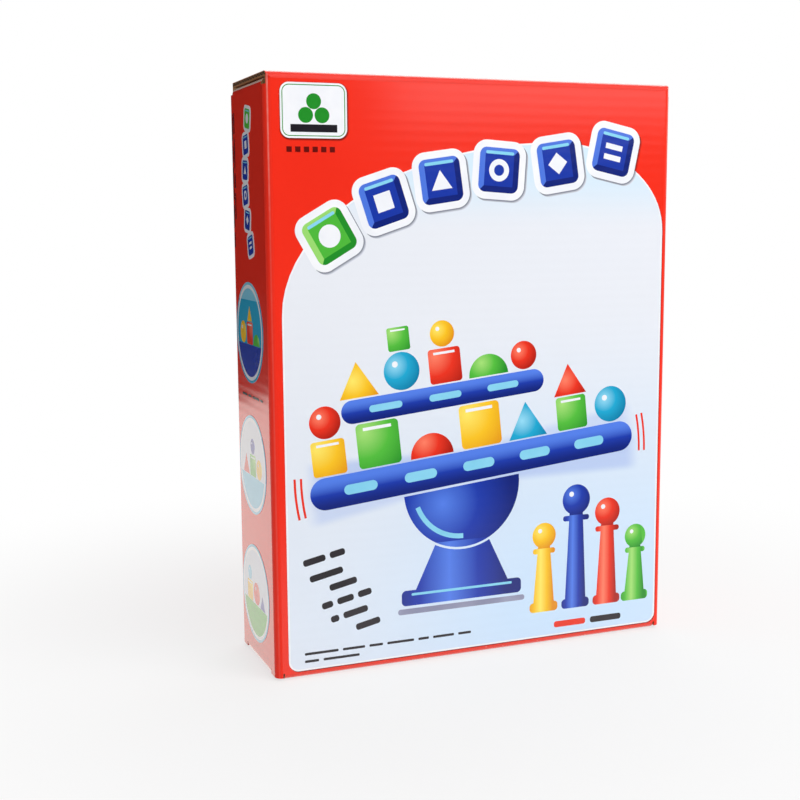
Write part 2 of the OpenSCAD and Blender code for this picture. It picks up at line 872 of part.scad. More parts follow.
// A row of plain bars, each one word long, with round ends
function bar_start(lengths, i) = i == 0 ? 0 : bar_start(lengths, i - 1) + lengths[i - 1] + word_gap;
module bar_row(lengths, thickness) {
    for (i = [0:len(lengths) - 1])
        translate([bar_start(lengths, i) + lengths[i] / 2, 0])
            rounded(lengths[i], thickness, thickness * 0.4);
}

module note_bars() {
    at_front(note_x, note_z) rotate(note_tilt)
        for (row = note_rows)
            translate([row[0], -row[1]]) bar_row(row[2], note_bar);
}

module small_bars() {
    for (row = small_rows)
        at_front(note_x, row[0]) bar_row(row[1], small_bar);
}

module pawn_bar(colour) {
    for (bar = pawn_bars)
        if (bar[0] == colour) at_front(bar[1], pawn_bar_z) bar_row([pawn_bar_l], note_bar);
}

module code_dots() {
    for (i = [0:5])
        at_front(badge_x + (i - 2.9) * code_pitch, code_z) square(code_dot, center = true);
}

// What is printed on the pale panel, as one silhouette
module panel_pieces() {
    front_plates();
    front_shadows();
    in_picture() {
        beams();
        sway_lines();
        toy_row(toys, "all");
    }
    plinth();
    floor_shade();
    pawn_row("all");
    note_bars();
    small_bars();
    pawn_bar("red");
    pawn_bar("dark");
}

module front_white() {
    difference() {
        union() {
            difference() {
                panel_shape(panel_line);
                panel_shape(0);
                front_shadows();
            }
            front_plates();
        }
        for (tile = tiles) at_front_tile(tile) {
            tile_face(tile[4], tile_w);
            tile_glint(tile_w);
        }
    }
    difference() {
        badge_plate();
        badge_line();
        badge_balls();
        badge_bar();
    }
    in_picture() toy_glints(toys);
    pawn_glints();
}

module front_ink(colour) {
    if (colour == "white") front_white();
    if (colour == "pale_blue") difference() {
        panel_shape(0);
        panel_pieces();
    }
    if (colour == "shadow") {
        front_shadows();
        floor_shade();
    }
    if (colour == "blue") {
        in_picture() difference() {
            beams();
            beam_cups();
        }
        difference() {
            plinth();
            plinth_glint();
        }
    }
    if (colour == "sky") {
        in_picture() beam_cups();
        plinth_glint();
        for (tile = tiles) at_front_tile(tile) tile_glint(tile_w);
    }
    if (colour == "green") {
        badge_line();
        badge_balls();
    }
    if (colour == "red") {
        in_picture() sway_lines();
    }
    if (colour == "dark") {
        badge_bar();
        code_dots();
        note_bars();
        small_bars();
    }
    for (tile = tiles)
        if (tile[0] == colour) at_front_tile(tile) tile_face(tile[4], tile_w);
    in_picture() toy_row(toys, colour);
    pawn_row(colour);
    pawn_bar(colour);
}

module at_side_tile(i) {
    at_left(side_tile_wave[i], side_tile_z - i * side_tile_pitch) rotate(side_tile_turn[i]) children();
}

module side_plates() {
    for (i = [0:len(tiles) - 1])
        at_side_tile(i) tile_plate(side_tile_w, side_tile_border);
}

module at_side_picture(i) {
    at_left(-side_picture_shift, side_picture_low + i * side_picture_pitch) children();
}

// The part of a round picture above or below its ground line
module picture_half(lower) {
    r = side_picture_r - side_rim - side_white_rim;
    intersection() {
        circle(r = r);
        translate([-r, lower ? side_ground - 2 * r : side_ground]) square(2 * r);
    }
}

module side_bars() {
    for (i = [0:1])
        at_left(side_bar_u + i * side_bar_pitch, side_bar_z) rotate(-90)
            bar_row(side_bars_l[i], side_bar);
    at_side_picture(2) translate([-side_picture_r * 0.65, -side_picture_r - caption_drop])
        bar_row(caption_l, side_bar);
}

module side_ink(colour) {
    if (colour == "white") {
        difference() {
            side_plates();
            for (i = [0:len(tiles) - 1]) at_side_tile(i) {
                tile_face(tiles[i][4], side_tile_w);
                tile_glint(side_tile_w);
            }
        }
        for (i = [0:2]) at_side_picture(i) {
            difference() {
                circle(r = side_picture_r - side_rim);
                circle(r = side_picture_r - side_rim - side_white_rim);
            }
            toy_glints(side_scenes[i][2]);
        }
    }
    if (colour == "sky") {
        for (i = [0:2]) at_side_picture(i) difference() {
            circle(r = side_picture_r);
            circle(r = side_picture_r - side_rim);
        }
        for (i = [0:len(tiles) - 1]) at_side_tile(i) tile_glint(side_tile_w);
    }
    if (colour == "dark") side_bars();
    for (i = [0:len(tiles) - 1])
        if (tiles[i][0] == colour) at_side_tile(i) tile_face(tiles[i][4], side_tile_w);
    for (i = [0:2]) at_side_picture(i) {
        for (half = [0, 1])
            if (side_scenes[i][half] == colour) difference() {
                picture_half(half == 1);
                toy_row(side_scenes[i][2], "all");
            }
        toy_row(side_scenes[i][2], colour);
    }
}

module print_ink(name) color(ink_colour(name)) {
    on_front() front_ink(name);
    on_left() side_ink(name);
}

carton();
lid();
for (pair = ink)
    print_ink(pair[0]);
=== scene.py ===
# %% [markdown]
# # A printed game carton
# The real object is one sheet of microflute board, printed, laminated, cut, folded and glued. It stands
# upright, 200 mm high, and its lid turns on the fold at the top of the front panel. The construction comes
# in as a frame that is never changed here: the carton, the lid, and one thin film for each ink. This lesson
# gives each of them its finish, adds the paper skin that bends over the lid's fold, and lights them.

# %% Load the frame
import math
from types import SimpleNamespace

import bpy
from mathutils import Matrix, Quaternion, Vector, noise


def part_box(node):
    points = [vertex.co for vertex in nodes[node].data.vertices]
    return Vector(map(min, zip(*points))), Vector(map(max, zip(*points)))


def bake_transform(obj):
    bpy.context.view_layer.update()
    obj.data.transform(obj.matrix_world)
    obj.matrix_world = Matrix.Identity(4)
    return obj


bpy.context.scene.view_settings.view_transform = "Standard"
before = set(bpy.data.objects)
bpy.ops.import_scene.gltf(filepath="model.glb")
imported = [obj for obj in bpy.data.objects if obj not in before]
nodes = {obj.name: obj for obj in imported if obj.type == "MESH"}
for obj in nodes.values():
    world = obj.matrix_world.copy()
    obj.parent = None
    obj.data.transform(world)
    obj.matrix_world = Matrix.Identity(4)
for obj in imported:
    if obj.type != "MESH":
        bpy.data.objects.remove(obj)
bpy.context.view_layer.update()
print("nodes:", sorted(nodes))

# %% [markdown]
# ## Measures
# The finishes follow the same sizes as the construction: the width, depth and height come from the carton's
# own box, and the board's thickness and the folds' radius are written once. They are in millimetres, and a
# shader reads its place on the object in millimetres too, because a small number is easy to check by eye.

# %% Measures, in millimetres
MM = 0.001
carton_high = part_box("carton")[1]
HALF_W = carton_high.x / MM
HALF_D = carton_high.y / MM
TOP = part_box("lid")[1].z / MM
BOARD = 1.5
FLUTE = 3.3
FOLD_R = 2.4
FOLD_X = HALF_W - FOLD_R
FOLD_Y = HALF_D - FOLD_R
LID_FOLD_Z = TOP - FOLD_R
DUST_FLAP_Z = TOP - BOARD - 0.3
SKIN = 0.06
print(f"carton {2 * HALF_W:.1f} x {2 * HALF_D:.1f} x {TOP:.1f} mm")

# %% [markdown]
# ## Shader maths as plain expressions
# A finish is a formula of the place on the object. Built node by node, such a formula is long and hard to
# read. A small class wraps one socket and gives it Python's operators, so that an expression on it adds the
# Math nodes by itself. A network holds the nodes, and its one method makes every other kind of node. A
# recipe is the network of one material.

# %% Wires
def operator(operation, swapped=False):
    def apply(wire, other):
        pair = [other, wire] if swapped else [wire, other]
        return wire.network.node("ShaderNodeMath", {"operation": operation}, pair)

    return apply


class Wire:
    """One value in a network. Arithmetic on it adds the nodes that work it out."""

    def __init__(self, network, socket):
        self.network = network
        self.socket = socket

    __add__ = __radd__ = operator("ADD")
    __mul__ = __rmul__ = operator("MULTIPLY")
    __sub__ = operator("SUBTRACT")
    __rsub__ = operator("SUBTRACT", swapped=True)
    __truediv__ = operator("DIVIDE")
    __rtruediv__ = operator("DIVIDE", swapped=True)
    __mod__ = operator("FLOORED_MODULO")
    __gt__ = operator("GREATER_THAN")
    __lt__ = operator("LESS_THAN")
    at_most = operator("MINIMUM")
    at_least = operator("MAXIMUM")


# %% Networks and recipes
class Network:
    """The nodes of a material or of the world."""

    def __init__(self, tree):
        self.tree = tree

    def node(self, kind, settings=None, values=(), output=0):
        """Makes a node, and gives one of its outputs, or several where their names are in a tuple."""
        made = self.tree.nodes.new(kind)
        for key, setting in (settings or {}).items():
            setattr(made, key, setting)
        pairs = values.items() if isinstance(values, dict) else enumerate(values)
        for key, value in pairs:
            self.feed(made.inputs[key], value)
        if isinstance(output, tuple):
            return [Wire(self, made.outputs[one]) for one in output]
        return Wire(self, made.outputs[output])

    def feed(self, socket, value):
        if isinstance(value, Wire):
            self.tree.links.new(value.socket, socket)
        else:
            socket.default_value = value

    def rays(self):
        """1 for a ray that comes from the camera, from a glossy surface, or through a clear one."""
        kinds = ("Is Camera Ray", "Is Glossy Ray", "Is Transmission Ray")
        return self.node("ShaderNodeLightPath", output=kinds)


class Recipe(Network):
    """The network of one material, which feeds the sockets of its Principled shader."""

    def __init__(self, name):
        self.material = bpy.data.materials.new(name)
        self.material.use_nodes = True
        super().__init__(self.material.node_tree)
        self.shader = self.tree.nodes["Principled BSDF"]

    def give(self, name, value):
        self.feed(self.shader.inputs[name], value)

    def split(self, vector):
        return self.node("ShaderNodeSeparateXYZ", None, [vector], (0, 1, 2))

    def place(self):
        metres = self.node("ShaderNodeTexCoord", output="Object")
        return self.node("ShaderNodeVectorMath", {"operation": "SCALE"}, {0: metres, "Scale": 1 / MM})

    def noise(self, vector, size, detail=2.0):
        values = {"Vector": vector, "Scale": 1 / size, "Detail": detail}
        return self.node("ShaderNodeTexNoise", None, values)

    def step(self, value, low, high):
        settings = {"interpolation_type": "SMOOTHSTEP"}
        return self.node("ShaderNodeMapRange", settings, [value, low, high, 0.0, 1.0])

    def blend(self, share, under, over):
        settings = {"data_type": "RGBA", "clamp_factor": True}
        return self.node("ShaderNodeMix", settings, {0: share, 6: under, 7: over}, output=2)

    def relief(self, height):
        """Turns a height in millimetres into the shader's Normal."""
        values = {"Height": height, "Distance": MM, "Strength": 1.0}
        self.give("Normal", self.node("ShaderNodeBump", None, values))


# %% Short names for formulas
def of_one(operation, value):
    return value.network.node("ShaderNodeMath", {"operation": operation}, [value])


def size_of(value):
    return of_one("ABSOLUTE", value)


def root(value):
    return of_one("SQRT", value)


def sine(value):
    return of_one("SINE", value)


def within(value, low, high):
    return (value > low) * (value < high)


def reach(a, b):
    return root(a * a + b * b)


def paint(red, green, blue):
    """A colour that is written in display values, from 0 to 255, as the shader wants it."""
    shares = [value / 255 for value in (red, green, blue)]
    return (*[s / 12.92 if s < 0.04045 else ((s + 0.055) / 1.055) ** 2.4 for s in shares], 1.0)


print("mid grey in the shader:", [round(share, 3) for share in paint(128, 128, 128)])

# %% [markdown]
# ## The camera
# The camera stands where the photographer stood: left of the middle, a little above half height, with the
# carton's front and left side in view. Its place and angles come from the six corners of the carton that
# the photograph shows.

# %% Camera
PICTURE = 800
FOCAL_PIXELS = 1267.7
CAMERA_PLACE = Vector((-0.1856, -0.4165, 0.1530))
CAMERA_TURN = math.radians(21.55)
CAMERA_TILT = math.radians(-8.08)
CAMERA_ROLL = math.radians(0.42)

camera_data = bpy.data.cameras.new("camera")
camera_data.lens = FOCAL_PIXELS / PICTURE * camera_data.sensor_width
camera = bpy.data.objects.new("camera", camera_data)
bpy.context.scene.collection.objects.link(camera)
bpy.context.scene.camera = camera
sight = Vector((
    math.sin(CAMERA_TURN) * math.cos(CAMERA_TILT),
    math.cos(CAMERA_TURN) * math.cos(CAMERA_TILT),
    math.sin(CAMERA_TILT),
))
camera.rotation_mode = "QUATERNION"
camera.rotation_quaternion = Quaternion(sight, CAMERA_ROLL) @ sight.to_track_quat("-Z", "Y")
camera.location = CAMERA_PLACE
print(f"lens {camera_data.lens:.1f} mm")

# %% [markdown]
# ## The lamps
# One broad lamp stands in front, to the right, and gives the panels their plain light. A low, soft card
# beside it is what the gloss mirrors as a sheen across the upper right, where it shows the washboard. A third
# lamp stands behind, for the other sides. Each lamp faces the middle of the carton.

# %% Lamps
AIM = Vector((0, 0, 0.1))


def round_place(turn, rise, distance):
    """A place round the carton: turn to the right of its front, rise above the table, in degrees."""
    a = math.radians(turn)
    e = math.radians(rise)
    flat = math.cos(e) * distance
    return AIM + Vector((math.sin(a) * flat, -math.cos(a) * flat, math.sin(e) * distance))


def lamp(name, place, width, height, power):
    light = bpy.data.lights.new(name, "AREA")
    light.shape = "RECTANGLE"
    light.size = width
    light.size_y = height
    light.energy = power
    thing = bpy.data.objects.new(name, light)
    bpy.context.scene.collection.objects.link(thing)
    thing.location = place
    thing.rotation_mode = "QUATERNION"
    thing.rotation_quaternion = (AIM - place).to_track_quat("-Z", "Y")
    print(name, "at", [round(value, 2) for value in place], "of", power, "W")


lamp("key_light", round_place(23, 46, 1.9), 1.75, 1.9, 29.5)
lamp("sheen_card", round_place(37, 17, 1.2), 0.75, 0.36, 1.74)
lamp("back_light", round_place(150, 45, 1.9), 1.7, 1.7, 14)

# %% [markdown]
# ## The air
# The air of the studio is white where the camera, a gloss or a clear piece sees it, and lights the carton far
# less than that, so that the shadows keep some depth.

# %% Air
AIR_LIGHT = 0.36

world = bpy.data.worlds.new("studio_air")
world.use_nodes = True
bpy.context.scene.world = world
air = Network(world.node_tree)
camera_ray, glossy_ray, clear_ray = air.rays()
shown = camera_ray.at_least(glossy_ray).at_least(clear_ray)
background = air.tree.nodes["Background"]
air.feed(background.inputs["Color"], (1, 1, 1, 1))
air.feed(background.inputs["Strength"], AIR_LIGHT + (1 - AIR_LIGHT) * shown)
print("air:", len(air.tree.nodes), "nodes")

# %% [markdown]
# ## The floor
# The carton stands on a pale table that runs out to white. A glossy print mirrors what stands round it, so
# to a mirror the table is bright beside and behind the carton, and dark in front. That keeps the red deep,
# and lets the table's glow show only low on the side. The floor is a plain disc: what matters is its finish,
# which mixes a matt shader, for the soft shadow, with a plain white.

# %% Floor
FLOOR_R = 6
NEAR_CARTON = 90.0
WHITE_FROM = 300.0
MIRROR_DARK_Y = -330.0
MIRROR_BRIGHT_Y = -10.0
SHADOW_SHARE = 0.3


def clear_selection():
    if bpy.context.mode != "OBJECT":
        bpy.ops.object.mode_set(mode="OBJECT")
    bpy.ops.object.select_all(action="DESELECT")


def floor_finish():
    recipe = Recipe("pale_floor")
    recipe.give("Base Color", paint(226, 226, 226))
    recipe.give("Roughness", 0.9)
    recipe.give("Specular IOR Level", 0.0)
    camera_ray, glossy_ray, clear_ray = recipe.rays()
    x, y, z = recipe.split(recipe.place())
    near = 1 - recipe.step(reach(x, y), NEAR_CARTON, WHITE_FROM)
    bright = recipe.step(y, MIRROR_DARK_Y, MIRROR_BRIGHT_Y)
    mirrored = recipe.blend(bright, (0.05, 0.05, 0.05, 1), (1.26, 1.17, 1.10, 1))
    glow = recipe.blend(glossy_ray, (1, 1, 1, 1), mirrored)
    white = recipe.node("ShaderNodeEmission", None, {"Color": glow, "Strength": 1.0})
    shown = camera_ray.at_least(glossy_ray).at_least(clear_ray)
    share = shown * (1 - SHADOW_SHARE * near * (1 - glossy_ray))
    matt = Wire(recipe, recipe.shader.outputs[0])
    both = recipe.node("ShaderNodeMixShader", None, [share, matt, white])
    recipe.feed(recipe.tree.nodes["Material Output"].inputs["Surface"], both)
    return recipe.material


clear_selection()
bpy.ops.mesh.primitive_circle_add(vertices=96, radius=FLOOR_R, fill_type="NGON", location=(0, 0, -0.0002))
floor = bpy.context.object
floor.name = "floor"
floor.data.materials.append(floor_finish())
print("floor:", 2 * FLOOR_R, "m across")

# %% [markdown]
# ## The dark surround
# Reflections on a flat panel are mirror images of the studio. A tray of dark cloth lies round the pale table:
# a flat rim with a hole in the middle and walls that stand up at its edge. It is made from a plane: the
# plane's face is inset, the inner face is deleted, and the outer edges are extruded upwards. Only mirror
# images see it, so it doesn't darken the carton or the picture.

# %% Rim of the surround
HOLE_FRONT = -0.30
HOLE_BACK = 0.62
HOLE_HALF = 0.75
WALL_REACH = 2.2
WALL_HEIGHT = 1.6


def at_rim(vertex):
    return abs(vertex.co.x) > WALL_REACH * 0.9


clear_selection()
bpy.ops.mesh.primitive_plane_add(size=2 * WALL_REACH, location=(0, 0, 0.003))
surround = bpy.context.object
surround.name = "dark_surround"
bpy.ops.object.mode_set(mode="EDIT")
bpy.ops.mesh.inset(thickness=WALL_REACH / 2)
bpy.ops.mesh.delete(type="FACE")
bpy.ops.object.mode_set(mode="OBJECT")
for vertex in surround.data.vertices:
    if not at_rim(vertex):
        vertex.co.x = math.copysign(HOLE_HALF, vertex.co.x)
        vertex.co.y = HOLE_BACK if vertex.co.y > 0 else HOLE_FRONT
print("rim faces:", len(surround.data.polygons))

# %% Walls of the surround
bpy.ops.object.mode_set(mode="EDIT")
bpy.ops.mesh.select_all(action="DESELECT")
bpy.ops.object.mode_set(mode="OBJECT")
for edge in surround.data.edges:
    edge.select = all(at_rim(surround.data.vertices[v]) for v in edge.vertices)
bpy.ops.object.mode_set(mode="EDIT")
bpy.ops.mesh.extrude_edges_move(TRANSFORM_OT_translate={"value": (0, 0, WALL_HEIGHT)})
bpy.ops.object.mode_set(mode="OBJECT")
cloth = Recipe("dark_cloth")
cloth.give("Base Color", (0.01, 0.01, 0.01, 1))
cloth.give("Roughness", 1.0)
surround.data.materials.append(cloth.material)
surround.visible_camera = False
surround.visible_diffuse = False
surround.visible_shadow = False
surround.visible_transmission = False
print("surround faces:", len(surround.data.polygons))

# %% [markdown]
# ## Microflute board
# The board is two sheets of paper with a wavy one between them. Three things give it away: a faint washboard
# on the panels, one ridge for each flute; the waves that show on a cut edge; and brown paper inside. The
# flutes run level round the carton, so the ridges lie one above the other on the upright panels.

# %% Colours of the board
RED = paint(247, 46, 24)
RED_DEEP = paint(230, 38, 20)
# Deep red: for the printed shadows, and for the shade painted on the top fold.
RED_SHADED = paint(70, 10, 10)
# Pale paper where the red is rubbed off; on the dust flaps' and upright folds it is also a painted highlight.
WORN_AND_HIGHLIT = paint(255, 226, 214)
KRAFT = paint(176, 134, 92)
KRAFT_DARK = paint(120, 84, 52)
RAW_EDGE = paint(150, 108, 72)
# Painted shade in the hollow between the two papers of a cut edge.
HOLLOW_SHADE = paint(52, 32, 20)


# %% Paper and cut edges
WAVE_HEIGHT = 0.44
WAVE_HALF_T = 0.14
PAPER_T = 0.26


def flute_section(recipe, through, along, waved):
    """Colour of a cut edge: two papers and the wave between them, with painted shade in the hollow where no
    wave shows.
    """
    middle = BOARD / 2 + WAVE_HEIGHT * sine(along * (2 * math.pi / FLUTE)) * waved
    wave = size_of(through - middle) < WAVE_HALF_T
    papers = size_of(through - BOARD / 2) > BOARD / 2 - PAPER_T
    return recipe.blend(wave.at_least(papers), HOLLOW_SHADE, RAW_EDGE)


def paper_colour(recipe, place, along):
    """Brown inner paper with long fibres, and a darker stripe at each flute."""
    fibre = recipe.noise(place, 1.1, 4.0)
    cloud = recipe.noise(place, 14.0, 3.0)
    stripe = 0.5 + 0.5 * sine(along * (2 * math.pi / FLUTE))
    return recipe.blend(0.55 * fibre * cloud + 0.10 * stripe, KRAFT, KRAFT_DARK)


def red_print(recipe, place, pale_share, shaded=0.0):
    """The red ink, a little uneven; deep where a shadow is printed and where shade is painted on the top
    fold; pale where it is rubbed off, and where a highlight is painted on a fold.
    """
    cloud = recipe.noise(place, 30.0, 2.0)
    ink = recipe.blend(0.5 * cloud, RED, RED_DEEP)
    ink = recipe.blend(shaded, ink, RED_SHADED)
    return recipe.blend(pale_share, ink, WORN_AND_HIGHLIT)


# %% [markdown]
# ## Gloss and washboard
# The print lies under a thin laminating film. The film is a coat on the shader, smooth but for a fine grain,
# and duller on a crease. The washboard is a hundredth of a millimetre high, far too low to model, but a gloss
# shows it, so it is a height that feeds the shader's Normal. The bare board has no coat, and short fibres
# stand on it.

# %% Gloss and washboard
FILM_ROUGHNESS = 0.15
FILM_COAT = 0.7
PAPER_ROUGHNESS = 0.85
FIBRE_RELIEF = 0.02


def ripple(recipe, along, place):
    """Height of the ridges above the flutes, in millimetres."""
    patch = recipe.noise(place, 26.0)
    wobble = recipe.noise(place, 9.0)
    wave = sine((along + 0.5 * wobble) * (2 * math.pi / FLUTE))
    return wave * (0.004 + 0.012 * patch)


def film_gloss(recipe, place, printed, roughness, height, creased=0.0):
    """Gives the laminating film its gloss, duller on a crease, and the whole surface its relief."""
    grain = recipe.noise(place, 0.35, 3.0)
    smear = recipe.noise(place, 18.0, 3.0)
    film = FILM_ROUGHNESS + 0.05 * smear + 0.22 * creased
    recipe.give("Roughness", roughness + printed * (film - roughness))
    recipe.give("Coat Weight", printed * FILM_COAT * (1 - 0.85 * creased))
    recipe.give("Coat Roughness", 0.13)
    recipe.give("Specular IOR Level", 0.15)
    recipe.relief(height + printed * grain * 0.0015)


def board_relief(recipe, place, along, printed, cut):
    """Ridges everywhere but on a cut edge, and fibres where the board is bare."""
    ridges = ripple(recipe, along, place) * (1 - cut)
    return ridges + (1 - printed) * FIBRE_RELIEF * recipe.noise(place, 0.5, 4.0)


def dress(name, material):
    nodes[name].material_slots[0].material = material
    print(name, "finish:", len(material.node_tree.nodes), "nodes")


# %% [markdown]
# ## Where on the carton a place lies
# A shader can tell the printed skin from the brown inside by how far a point lies from the outer shape. For a
# box with round corners that distance is one short formula. The flaps at the foot are told apart by the way
# they face and by their level, and a raw edge is what faces along its own board. All of this is worked out
# once, and kept under names that the next steps share.

# %% Distances and zones
FLAP_PITCH = BOARD + 0.3
FLAPS_TOP = 7.4


def carton_place(recipe):
    """A place on the carton: its distances from the folds, and the zones that it may lie in."""
    at = SimpleNamespace(recipe=recipe, point=recipe.place())
    at.x, at.y, at.z = recipe.split(at.point)
    at.nx, at.ny, at.nz = recipe.split(recipe.node("ShaderNodeNewGeometry", output="True Normal"))
    at.out_x = (size_of(at.x) - FOLD_X).at_least(0.0)
    at.out_y = (size_of(at.y) - FOLD_Y).at_least(0.0)
    at.below = (FOLD_R - at.z).at_least(0.0)
    at.above = (at.z - (DUST_FLAP_Z - FOLD_R)).at_least(0.0)
    at.skin_depth = root(at.out_x * at.out_x + at.out_y * at.out_y + at.below * at.below) - FOLD_R
    at.inside = reach(at.out_x, at.out_y) - FOLD_R < -(BOARD + 0.1)
    at.foot = at.z < FLAPS_TOP
    at.odd_flap = of_one("FLOOR", at.z / FLAP_PITCH) % 2.0
    at.dust_zone = (at.z > DUST_FLAP_Z - FOLD_R) * (size_of(at.y) < FOLD_Y)
    at.front_fold = (at.z > LID_FOLD_Z) * (at.y < -FOLD_Y)
    at.right_cut = (at.ny > 0.7) * (at.x > HALF_W - BOARD) * (at.y > HALF_D - SKIN)
    return at


# %% Printed skin
GLUE_X = FOLD_X - BOARD


def printed_skin(at):
    """1 on the outer faces of the blank: the walls, the flaps' outsides, and the outside of each fold."""
    wall = (at.skin_depth > -SKIN) * (at.z < LID_FOLD_Z + 1.5) * (1 - at.right_cut)
    glue_fold = (reach(at.x - GLUE_X, at.y - FOLD_Y) > FOLD_R - SKIN) * (at.y > FOLD_Y)
    glue_fold = glue_fold * within(at.x, GLUE_X, HALF_W - BOARD)
    dust_flap = at.dust_zone * (reach(at.out_x, at.above) - FOLD_R > -SKIN)
    bottom_flap = at.foot * at.inside * (at.nz < -0.3)
    front_fold = at.front_fold * (reach(at.y + FOLD_Y, at.z - LID_FOLD_Z) - FOLD_R > -SKIN)
    return wall.at_least(glue_fold).at_least(dust_flap).at_least(bottom_flap).at_least(front_fold)


# %% Cut edges of the carton
GLUE_EDGE_X = HALF_W - 3.2
GLUE_TOP = 196.0


def cut_edges(at, printed):
    """1 on a raw edge, then where it lies on the board's section: through it, along it, and how waved."""
    flat_cut = (size_of(at.nz) < 0.4) * at.inside
    foot_cut = at.foot * flat_cut
    dust_cut = at.dust_zone * flat_cut * (at.z > DUST_FLAP_Z - BOARD)
    rear_cut = (at.z > TOP - SKIN) * (at.y > 0.0)
    glue_cut = (at.ny < -0.7) * within(at.x, GLUE_EDGE_X, HALF_W - BOARD - 0.05)
    glue_cut = glue_cut * within(at.z, FLAPS_TOP, GLUE_TOP)
    cut = foot_cut.at_least(dust_cut).at_least(rear_cut).at_least(glue_cut) * (1 - printed)
    upright_cut = glue_cut.at_least(at.right_cut)
    through = at.foot * (at.z % FLAP_PITCH) + at.dust_zone * (DUST_FLAP_Z - at.z)
    through = through + rear_cut * (HALF_D - at.y)
    through = through * (1 - upright_cut) + glue_cut * (at.x - GLUE_X - FOLD_R + BOARD / 2)
    through = through + at.right_cut * (at.x - HALF_W + BOARD)
    side_flutes = dust_cut.at_least(foot_cut * at.odd_flap)
    front_flutes = foot_cut * (1 - at.odd_flap)
    waved = (side_flutes * size_of(at.ny) + front_flutes * size_of(at.nx)).at_least(upright_cut)
    along = side_flutes * at.x + front_flutes * at.y + upright_cut * at.z
    return cut.at_least(at.right_cut), through, along, waved


def across_the_flutes(at):
    """The way in which the ridges follow one another: up on the panels, level on the flaps."""
    level_flap = at.dust_zone.at_least(at.foot * at.inside)
    across_x = at.dust_zone.at_least(at.odd_flap)
    return at.z * (1 - level_flap) + level_flap * (at.x * across_x + at.y * (1 - across_x))


# %% [markdown]
# ## Wear, printed shadows, and painted light on the folds
# Handling rubs the ink off where the board is bent: in specks along the foot, in a strip on the dust flaps'
# folds, and in a thin line down the upright folds, stronger near the top. The strip and the line are partly
# wear and partly a painted highlight. The shadows round the badge and the pale panel are part of the print;
# the red on the top fold is a little deeper as well, and that is painted shade.

# %% Wear, and highlights painted on the folds
FOLD_LINE_FROM = 140.0
FOLD_LINE_TO = 190.0


def wear_and_painted_highlight(at):
    """How pale the red is: ink rubbed off, and on the dust flaps' and upright folds a painted highlight too.
    """
    patchy = at.recipe.noise(at.point, 1.6, 4.0)
    foot_fold = at.recipe.step(at.skin_depth, -SKIN, 0.0) * within(at.below, 0.05, FOLD_R)
    pale_share = foot_fold * at.recipe.step(patchy, 0.66, 0.80) * 0.3
    # The dust flaps' folds: a pale strip, partly worn ink and partly a painted highlight.
    dust_fold = at.dust_zone * within(at.above, 1.0, FOLD_R - 0.35) * (at.out_x > 0.3)
    pale_share = pale_share.at_least(dust_fold * at.recipe.step(patchy, 0.20, 0.45))
    # The upright folds: a thin pale line, partly wear and partly a painted highlight, stronger towards the
    # top.
    side_fold = 1 - at.recipe.step(size_of(at.out_y - at.out_x - 0.8), 0.1, 0.6)
    side_fold = side_fold * (at.out_x > 0.4) * (at.skin_depth > -SKIN)
    stronger_up = 0.22 + 0.78 * at.recipe.step(at.z, FOLD_LINE_FROM, FOLD_LINE_TO)
    return pale_share.at_least(side_fold * stronger_up * (0.12 + 0.26 * patchy))


# %% Printed shadows, and shade painted on the top fold
BADGE_PLACE = (-58.7, 187.8)
BADGE_HALF = (11.2, 8.7)
PANEL_SIDES = (-70.6, 72.4)
PANEL_FOOT = 2.6
PANEL_CORNER = 3.6
CREST_X = 30.0
LEFT_CURVE = (122.0, 57.1)
RIGHT_CURVE = (148.5, 30.6)


def badge_shade(recipe, x, z):
    """A soft shadow, down and to the right of the badge."""
    far_x = (size_of(x - BADGE_PLACE[0] - 0.15) - BADGE_HALF[0] + 3).at_least(0.0)
    far_z = (size_of(z - BADGE_PLACE[1] + 0.3) - BADGE_HALF[1] + 3).at_least(0.0)
    return 1 - recipe.step(reach(far_x, far_z), 2.9, 3.7)


def over_panel(x, z):
    """1 on the pale panel: a box with round lower corners under two quarters of an ellipse."""
    middle = sum(PANEL_SIDES) / 2
    straight = PANEL_SIDES[1] - middle - PANEL_CORNER
    beside = (size_of(x - middle) - straight).at_least(0.0)
    beneath = (PANEL_FOOT + PANEL_CORNER - z).at_least(0.0)
    box = reach(beside, beneath) < PANEL_CORNER
    across = x - CREST_X
    left_rise = (z - LEFT_CURVE[0]).at_least(0.0) / LEFT_CURVE[1]
    right_rise = (z - RIGHT_CURVE[0]).at_least(0.0) / RIGHT_CURVE[1]
    left = (reach(across / (CREST_X - PANEL_SIDES[0]), left_rise) < 1.0) * (across < 0.0)
    right = (reach(across / (PANEL_SIDES[1] - CREST_X), right_rise) < 1.0) * (across > 0.0)
    return box * left.at_least(right)


def printed_and_painted_shade(at):
    """How deep the red is: printed shadows round the badge and the panel, and a little painted shade on the
    top fold.
    """
    badge = badge_shade(at.recipe, at.x, at.z) * 0.85
    panel = over_panel(at.x - 0.3, at.z + 0.4) * 0.75
    on_front = at.y < -FOLD_Y - 1
    # The top fold's share is painted shade: it darkens the arc where it would catch more light.
    return (badge.at_least(panel) * on_front).at_least(at.front_fold * 0.12)


# %% [markdown]
# ## The carton's finish
# All the parts are there. The brown paper comes first, the red print covers it where the skin is printed, and
# the cut edges cover both.

